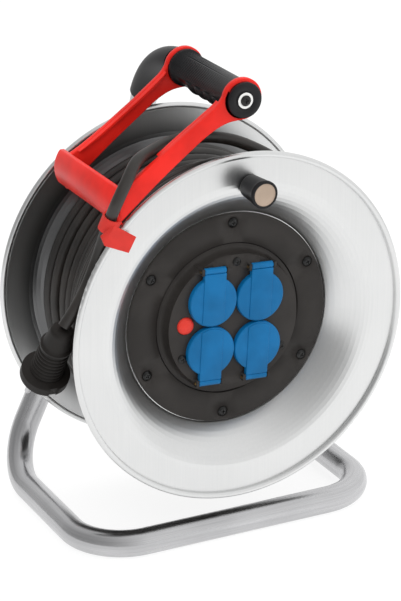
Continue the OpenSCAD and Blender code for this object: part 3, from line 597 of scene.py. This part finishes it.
def sweep(name, line, radius, sides, finish):
    """A closed round tube along a line in the row frame."""
    mesh = bpy.data.meshes.new(name)
    mesh.from_pydata(line, [(i, i + 1) for i in range(len(line) - 1)], [])
    piece = add_object(name, mesh, finish)
    tree = bpy.data.node_groups.get(TUBE_TREE) or tube_tree()
    modifier = piece.modifiers.new("tube", "NODES")
    modifier.node_group = tree
    inputs = {i.name: i.identifier for i in tree.interface.items_tree if i.in_out == "INPUT"}
    modifier[inputs["Radius"]] = radius
    modifier[inputs["Sides"]] = sides
    modifier[inputs["Finish"]] = FINISHES[finish]
    settle(piece)
    bm = bmesh.new()
    bm.from_mesh(piece.data)
    bmesh.ops.recalc_face_normals(bm, faces=bm.faces)
    bm.to_mesh(piece.data)
    bm.free()
    shade(piece.data, TUBE_SHARP)
    return piece


class Form:
    """Gathers simple solids, in mm and in their own place, into one mesh."""

    def __init__(self, to_row):
        self.bm = bmesh.new()
        self.to_row = to_row

    def _take(self, part, bevel=0.0, angle=0.0):
        """Adds one solid, with its edges that are sharper than the angle bevelled."""
        bmesh.ops.remove_doubles(part, verts=part.verts, dist=WELD_MM)
        bmesh.ops.recalc_face_normals(part, faces=part.faces)
        if bevel:
            edges = [
                e for e in part.edges
                if len(e.link_faces) == 2 and e.calc_face_angle(0) > math.radians(angle)
            ]
            bmesh.ops.bevel(
                part, geom=edges, offset=bevel, offset_type="OFFSET", segments=3,
                profile=0.5, affect="EDGES", clamp_overlap=True)
        made = {v: self.bm.verts.new(self.to_row(v.co)) for v in part.verts}
        for face in part.faces:
            self.bm.faces.new([made[v] for v in face.verts])
        part.free()

    def prism(self, outline, y0, y1, bevel, angle):
        """A flat outline of (x, z) pairs, standing from y0 to y1."""
        part = bmesh.new()
        near = [part.verts.new((x, y0, z)) for x, z in outline]
        far = [part.verts.new((x, y1, z)) for x, z in outline]
        part.faces.new(near)
        part.faces.new(far[::-1])
        for i in range(len(outline)):
            k = (i + 1) % len(outline)
            part.faces.new((near[k], near[i], far[i], far[k]))
        self._take(part, bevel, angle)

    def lathe(self, profile, centre=(0, 0, 0), axis="Y", steps=72):
        """A profile of (radius, place along the axis) pairs, turned about the axis."""
        part = bmesh.new()
        along = {"X": Vector((1, 0, 0)), "Y": Vector((0, 1, 0))}[axis]
        side = Vector((0, 0, 1))
        over = along.cross(side)
        rings = []
        for r, place_at in profile:
            rings.append([
                part.verts.new(
                    Vector(centre) + along * place_at
                    + (side * math.cos(2 * math.pi * k / steps)
                       + over * math.sin(2 * math.pi * k / steps)) * r)
                for k in range(steps if r > 0 else 1)
            ])
        for a, b in zip(rings, rings[1:]):
            for k in range(steps):
                n = (k + 1) % steps
                if len(a) == 1 and len(b) > 1:
                    part.faces.new((a[0], b[k], b[n]))
                elif len(b) == 1 and len(a) > 1:
                    part.faces.new((a[n], a[k], b[0]))
                elif len(a) > 1:
                    part.faces.new((a[k], b[k], b[n], a[n]))
        self._take(part)

    def finish(self, name, finish):
        """Makes the gathered solids one piece."""
        bmesh.ops.recalc_face_normals(self.bm, faces=self.bm.faces)
        mesh = bpy.data.meshes.new(name)
        self.bm.to_mesh(mesh)
        self.bm.free()
        shade(mesh, FORM_SHARP)
        return add_object(name, mesh, finish)


def ride_as(piece, body, nodes):
    """Puts a finished piece on its body in place of CAD nodes."""
    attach(piece, body)
    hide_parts(*nodes)


def smoothed_copy(node, finish, body):
    """The CAD node's shape, welded and with even shading."""
    mesh = NODES[node].data.copy()
    mesh.name = node + "_smooth"
    bm = bmesh.new()
    bm.from_mesh(mesh)
    bmesh.ops.remove_doubles(bm, verts=bm.verts, dist=WELD)
    bm.to_mesh(mesh)
    bm.free()
    piece = add_object(node + "_smooth", mesh, finish)
    shade(mesh, MOULDED_SHARP)
    ride_as(piece, body, [node])


# ---- Settings ----------------------------------------------------------------------------------


class ReelCableSettings(bpy.types.PropertyGroup):
    rings: bpy.props.IntProperty(
        name="Rings in a turn", description="How finely each turn is drawn", default=72, min=24)
    sides: bpy.props.IntProperty(
        name="Sides", description="Sides of the cable's round section", default=14, min=8)
    wander: bpy.props.FloatProperty(
        name="Wander", description="How far turns stray from an even lay, in mm", default=0.9)


class ReelStageSettings(bpy.types.PropertyGroup):
    azimuth: bpy.props.FloatProperty(
        name="Azimuth", description="Camera's turn from the front, in degrees", default=-26.69)
    elevation: bpy.props.FloatProperty(
        name="Elevation", description="Camera's height angle, in degrees", default=21.48)
    distance: bpy.props.FloatProperty(
        name="Distance", description="From the camera to the drum", default=1.9835,
        unit="LENGTH")
    focal: bpy.props.FloatProperty(
        name="Focal length", description="Lens on a 36 mm sensor, in mm", default=146.43)
    key: bpy.props.FloatProperty(
        name="Key light", description="Power of the main soft light, in watts", default=16.0)
    dark_side: bpy.props.FloatProperty(
        name="Dark side", description="Brightness of the studio on the left", default=0.36)


# ---- Operators ---------------------------------------------------------------------------------


class REEL_OT_camera(bpy.types.Operator):
    """Places the camera"""

    bl_idname = "reel.camera"
    bl_label = "Camera"

    def execute(self, context):
        stage = context.scene.reel_stage
        a, e = math.radians(stage.azimuth), math.radians(stage.elevation)
        back = Vector((math.sin(a) * math.cos(e), -math.cos(a) * math.cos(e), math.sin(e)))
        right = Vector((math.cos(a), math.sin(a), 0))
        up = back.cross(right)
        target = DRUM + (right * AIM_RIGHT + up * AIM_UP) * MM
        data = bpy.data.cameras.new("camera")
        data.lens = stage.focal
        data.sensor_width = SENSOR
        camera = bpy.data.objects.new("camera", data)
        context.scene.collection.objects.link(camera)
        turn = Matrix((right, up, back)).transposed().to_4x4()
        camera.matrix_world = Matrix.Translation(target + back * stage.distance) @ turn
        context.scene.camera = camera
        return {"FINISHED"}


class REEL_OT_finishes(bpy.types.Operator):
    """Makes the finishes and puts them on the nodes that keep their mesh"""

    bl_idname = "reel.finishes"
    bl_label = "Finishes"

    def execute(self, context):
        FINISHES.update(make_finishes())
        for finish, nodes in PLAIN_NODES.items():
            for node in nodes:
                NODES[node].data.materials.clear()
                NODES[node].data.materials.append(FINISHES[finish])
        return {"FINISHED"}


class REEL_OT_tail(bpy.types.Operator):
    """Lays the cable's free end into its plug"""

    bl_idname = "reel.tail"
    bl_label = "Free end"

    def execute(self, context):
        path = [place(p) for p in spline(TAIL_ROUTE, TAIL_STEPS)]
        piece = sweep("tail", path, CABLE_D / 2 * MM, TAIL_SIDES, "cable_rubber")
        ride_as(piece, "stand", ["tail_cord"])
        return {"FINISHED"}


def wind_line(cable, lift, drift, first, last):
    """Centre line of one layer of turns, in the row frame.

    The uneven factors keep the small strays of neighbouring turns out of step.
    """
    rings, wander = cable.rings, cable.wander
    step = (WIND_FRONT + WIND_BACK) / TURNS
    line = []
    for i in range(int(first * rings), int(last * rings) + 1):
        t = i / rings
        angle = 2 * math.pi * t
        y = WIND_BACK - step * t
        stray = wander * math.sin(angle * 2.7 + t * t * 0.9 + drift) * STRAY_R
        r = lookup(y, LAYER_R) - lift + SWAY_R * math.sin(2 * angle) + stray
        y += SWAY_Y * math.sin(angle + SWAY_START) + STRAY_Y * wander * math.sin(t * 7.3 + drift)
        line.append(place_on_drum((r * math.cos(angle), y, r * math.sin(angle))))
    return line


class REEL_OT_winding(bpy.types.Operator):
    """Winds the cable's outer layers on the drum"""

    bl_idname = "reel.winding"
    bl_label = "Winding"

    def execute(self, context):
        cable = context.scene.reel_cable
        for name, node, layer in (
            ("winding_outer", "winding", (0.0, 0.0, 0.0, OUTER_LAST)),
            ("winding_inner", "winding_core",
             (INNER_LIFT, INNER_DRIFT, INNER_FIRST, INNER_LAST)),
        ):
            turns = sweep(
                name, wind_line(cable, *layer), CABLE_D / 2 * MM, cable.sides, "cable_rubber")
            ride_as(turns, "drum", [node])
        bed = [(lookup(y, LAYER_R) - BED_DEPTH, y) for y in BED_Y]
        bm = bmesh.new()
        profile = [(r, -y) for r, y in BED_SIDE] + bed + BED_SIDE[::-1]
        verts = [bm.verts.new(place_on_drum((r, y, 0))) for r, y in profile]
        edges = [bm.edges.new(pair) for pair in zip(verts, verts[1:])]
        bmesh.ops.spin(
            bm, geom=verts + edges, cent=place_on_drum((0, 0, 0)), axis=(0, 1, 0),
            angle=2 * math.pi, steps=cable.rings, use_merge=True)
        bmesh.ops.remove_doubles(bm, verts=bm.verts, dist=WELD)
        bmesh.ops.recalc_face_normals(bm, faces=bm.faces)
        mesh = bpy.data.meshes.new("winding_bed")
        bm.to_mesh(mesh)
        bm.free()
        shade(mesh, MOULDED_SHARP)
        piece = add_object("winding_bed", mesh, "cable_rubber")
        ride_as(piece, "drum", ["winding_core"])
        return {"FINISHED"}


class REEL_OT_tube(bpy.types.Operator):
    """Bends the stand's tube"""

    bl_idname = "reel.tube"
    bl_label = "Stand tube"

    def execute(self, context):
        line = [place(p) for p in tube_line(TUBE_CORNERS, TUBE_BENDS, TUBE_STEP)]
        piece = sweep("tube", line, TUBE_R * MM, TUBE_SIDES, "zinc_tube")
        ride_as(piece, "stand", ["stand_tube"])
        return {"FINISHED"}


def on_arm(s, n, drop=0.0):
    """Where a point of an arm is across the grip's axis and above it."""
    n -= drop * min(1.0, max(0.0, (s - 10) / 40))
    a = ARM_SLOPE
    return (-s * math.cos(a) - n * math.sin(a), -s * math.sin(a) + n * math.cos(a))


def smooth_pairs(pairs):
    """A smooth line through flat points."""
    return [(v.x, v.y) for v in spline([(a, b, 0) for a, b in pairs], ARM_STEPS)]


def arm(form, y0, y1, drop):
    """An arm from its boss down to the bar, between two depths."""
    upper = smooth_pairs(ARM_UPPER)
    lower = smooth_pairs(ARM_LOWER)
    form.prism([on_arm(s, n, drop) for s, n in upper + lower], y0, y1, ARM_EDGE, ARM_ANGLE)
    r, e, soft = BOSS_R, ARM_EDGE, 0.3 * ARM_EDGE
    form.lathe([
        (BOSS_BORE, y0), (r - e, y0), (r - soft, y0 + soft), (r, y0 + e), (r, y1 - e),
        (r - soft, y1 - soft), (r - e, y1), (BOSS_BORE, y1), (BOSS_BORE, y0),
    ])


def lip(form, y0, y1, drop, last):
    """The thin rib along an arm's upper edge, which dies away at both ends."""
    upper = [p for p in smooth_pairs(ARM_UPPER) if LIP_START + 2 < p[0] < last]
    outline = upper + [
        (s, n - LIP_H * min(1.0, (s - LIP_START) / LIP_TAPER[0], (last + 2 - s) / LIP_TAPER[1]))
        for s, n in reversed(upper)
    ]
    form.prism(
        [on_arm(s, n - LIP_SUNK, drop) for s, n in outline], y0, y1, LIP_EDGE, ARM_ANGLE)


class REEL_OT_guide(bpy.types.Operator):
    """Moulds the cable guide with rounded edges"""

    bl_idname = "reel.guide"
    bl_label = "Cable guide"

    def execute(self, context):
        form = Form(lambda v: place((v.x, v.y, v.z + GRIP_Z)))
        for arm_y, lip_y, last, drop in ARMS:
            arm(form, *arm_y, drop)
            lip(form, *lip_y, drop, last)
        top, foot = Vector(on_arm(*BAR_TOP)), Vector(on_arm(*BAR_FOOT))
        across = (foot - top).normalized()
        out = Vector((across.y, -across.x))
        outer, inner = [], []
        for k in range(BAR_STEPS + 1):
            bulge = BAR_BULGE * math.sin(math.pi * k / BAR_STEPS) ** 0.8
            at = top + (foot - top) * (k / BAR_STEPS) + out * bulge
            outer.append(tuple(at))
            inner.append(tuple(at - out * BAR_T))
        form.prism(outer + inner[::-1], BAR_FRONT, BAR_BACK, BAR_EDGE, FORM_ANGLE)
        piece = form.finish("guide_moulding", "red_plastic")
        ride_as(piece, "guide", ["guide_frame", "guide_rear_arm"])
        return {"FINISHED"}


class REEL_OT_lids(bpy.types.Operator):
    """Moulds the four hinged lids"""

    bl_idname = "reel.lids"
    bl_label = "Lids"

    def execute(self, context):
        for i, (across, up) in enumerate(SOCKET_SIGNS):
            # The lower lids are the upper ones upside down
            form = Form(lambda v: place_on_drum((
                across * HALF_PITCH + v.x, v.y, up * (HALF_PITCH + v.z))))
            r, f = LID_R, -LID_FRONT
            form.lathe([
                (0, f - 0.15), (r * 0.6, f - 0.1), (r - 1.3, f), (r - 0.6, f + 0.2),
                (r - 0.15, f + 0.7), (r, f + 1.3), (r, -LID_BACK), (r - 2.2, -LID_BACK),
                (r - 2.2, f + 2.4), (0, f + 2.4),
            ])
            # The raised strip down the middle ends in an arc just inside the rim
            reach = r - STRIP_MARGIN
            half_arc = math.asin(TAB_HALF / reach)
            strip = [(-TAB_HALF, HINGE_Z - 2.2), (TAB_HALF, HINGE_Z - 2.2)] + [
                (reach * math.sin(a), -reach * math.cos(a))
                for a in (half_arc * (1 - 2 * k / STRIP_STEPS) for k in range(STRIP_STEPS + 1))
            ]
            form.prism(strip, f - STRIP_H, f + STRIP_SUNK, STRIP_EDGE, FORM_ANGLE)
            form.prism(
                [(-TAB_HALF, LEAF_Z), (TAB_HALF, LEAF_Z), (TAB_HALF, HINGE_Z - 0.5),
                 (-TAB_HALF, HINGE_Z - 0.5)],
                f + LEAF_SUNK, -HINGE_Y + 1.5, LEAF_EDGE, FORM_ANGLE)
            k, t = KNUCKLE_R, TAB_HALF
            form.lathe([
                (PIN_BORE, -t), (k - 0.5, -t), (k, -t + 0.5), (k, t - 0.5), (k - 0.5, t),
                (PIN_BORE, t), (PIN_BORE, -t),
            ], (0, -HINGE_Y, HINGE_Z), "X", 32)
            node = f"lid_{i + 1}"
            piece = form.finish(node + "_moulding", "blue_plastic")
            ride_as(piece, node, [node])
        return {"FINISHED"}


class REEL_OT_smoothed(bpy.types.Operator):
    """Gives the moulded parts even shading"""

    bl_idname = "reel.smoothed"
    bl_label = "Moulded parts"

    def execute(self, context):
        for node, (finish, body) in SMOOTHED_NODES.items():
            smoothed_copy(node, finish, body)
        return {"FINISHED"}


class REEL_OT_stage(bpy.types.Operator):
    """Sets the floor, the lights and the background"""

    bl_idname = "reel.stage"
    bl_label = "Stage"

    def execute(self, context):
        scene = context.scene
        stage = scene.reel_stage
        s = Shader("floor_finish")
        s.finish(Base_Color=(0.86, 0.86, 0.86, 1), Roughness=0.7)
        tree = s.tree
        light_path = tree.nodes.new("ShaderNodeLightPath")
        glow = tree.nodes.new("ShaderNodeEmission")
        glow.inputs[0].default_value = (1, 1, 1, 1)
        glow.inputs[1].default_value = FLOOR_GLOW
        mix = tree.nodes.new("ShaderNodeMixShader")
        tree.links.new(s.surface.outputs[0], mix.inputs[1])
        tree.links.new(glow.outputs[0], mix.inputs[2])
        away = s.node(
            "ShaderNodeVectorMath", {"operation": "DISTANCE"}, s.place(), GLOW_FROM, output=1)
        seen = (
            Socket(s, light_path.outputs["Is Camera Ray"]) * GLOW_SEEN
            + Socket(s, light_path.outputs["Is Glossy Ray"])
            * (GLOW_MIRRORED - away * GLOW_FALL))
        tree.links.new(seen.socket, mix.inputs[0])
        tree.links.new(mix.outputs[0], tree.nodes["Material Output"].inputs[0])
        mesh = bpy.data.meshes.new("floor")
        w = FLOOR_HALF
        mesh.from_pydata([(-w, -w, 0), (w, -w, 0), (w, w, 0), (-w, w, 0)], [], [(0, 1, 2, 3)])
        mesh.materials.append(s.material)
        floor = bpy.data.objects.new("floor", mesh)
        scene.collection.objects.link(floor)
        for name, at, size, power in LAMPS:
            data = bpy.data.lights.new(name, "AREA")
            data.energy = stage.key * power
            data.size = size
            lamp = bpy.data.objects.new(name, data)
            lamp.visible_glossy = False
            scene.collection.objects.link(lamp)
            lamp.location = at
            lamp.rotation_euler = (Vector(at) - LAMP_AIM).to_track_quat("Z", "Y").to_euler()
        world = bpy.data.worlds.new("studio")
        scene.world = world
        world.use_nodes = True
        nodes, links = world.node_tree.nodes, world.node_tree.links
        background = nodes["Background"]
        # White to the camera; to everything else a studio that is darker on the left
        where = nodes.new("ShaderNodeTexCoord")
        split = nodes.new("ShaderNodeSeparateXYZ")
        links.new(where.outputs["Generated"], split.inputs[0])
        fall = nodes.new("ShaderNodeMapRange")
        fall.interpolation_type = "SMOOTHSTEP"
        for label, value in (
            ("From Min", STUDIO_FROM), ("From Max", STUDIO_TO),
            ("To Min", stage.dark_side), ("To Max", STUDIO_BRIGHT),
        ):
            fall.inputs[label].default_value = value
        links.new(split.outputs["X"], fall.inputs["Value"])
        path = nodes.new("ShaderNodeLightPath")
        strength = nodes.new("ShaderNodeMix")
        links.new(path.outputs["Is Camera Ray"], strength.inputs["Factor"])
        links.new(fall.outputs[0], strength.inputs["A"])
        strength.inputs["B"].default_value = 1.0
        links.new(strength.outputs["Result"], background.inputs["Strength"])
        background.inputs["Color"].default_value = (1, 1, 1, 1)
        scene.view_settings.view_transform = "Standard"
        return {"FINISHED"}


class REEL_PT_panel(bpy.types.Panel):
    """Lists the steps that dress the reel"""

    bl_idname = "REEL_PT_panel"
    bl_label = "Cable reel"
    bl_space_type = "VIEW_3D"
    bl_region_type = "UI"
    bl_category = "Reel"

    def draw(self, context):
        for group in (context.scene.reel_cable, context.scene.reel_stage):
            for key in group.__annotations__:
                self.layout.prop(group, key)
        for operator in OPERATORS:
            self.layout.operator(operator.bl_idname)


OPERATORS = [
    REEL_OT_camera, REEL_OT_finishes, REEL_OT_smoothed, REEL_OT_tail, REEL_OT_winding,
    REEL_OT_tube, REEL_OT_guide, REEL_OT_lids, REEL_OT_stage,
]
GROUPS = [ReelCableSettings, ReelStageSettings]


def register():
    for item in GROUPS + OPERATORS + [REEL_PT_panel]:
        bpy.utils.register_class(item)
    bpy.types.Scene.reel_cable = bpy.props.PointerProperty(type=ReelCableSettings)
    bpy.types.Scene.reel_stage = bpy.props.PointerProperty(type=ReelStageSettings)


def unregister():
    del bpy.types.Scene.reel_cable
    del bpy.types.Scene.reel_stage
    for item in reversed(GROUPS + OPERATORS + [REEL_PT_panel]):
        bpy.utils.unregister_class(item)


def main():
    register()
    for operator in OPERATORS:
        group, name = operator.bl_idname.split(".")
        getattr(getattr(bpy.ops, group), name)()


if __name__ == "__main__":
    main()
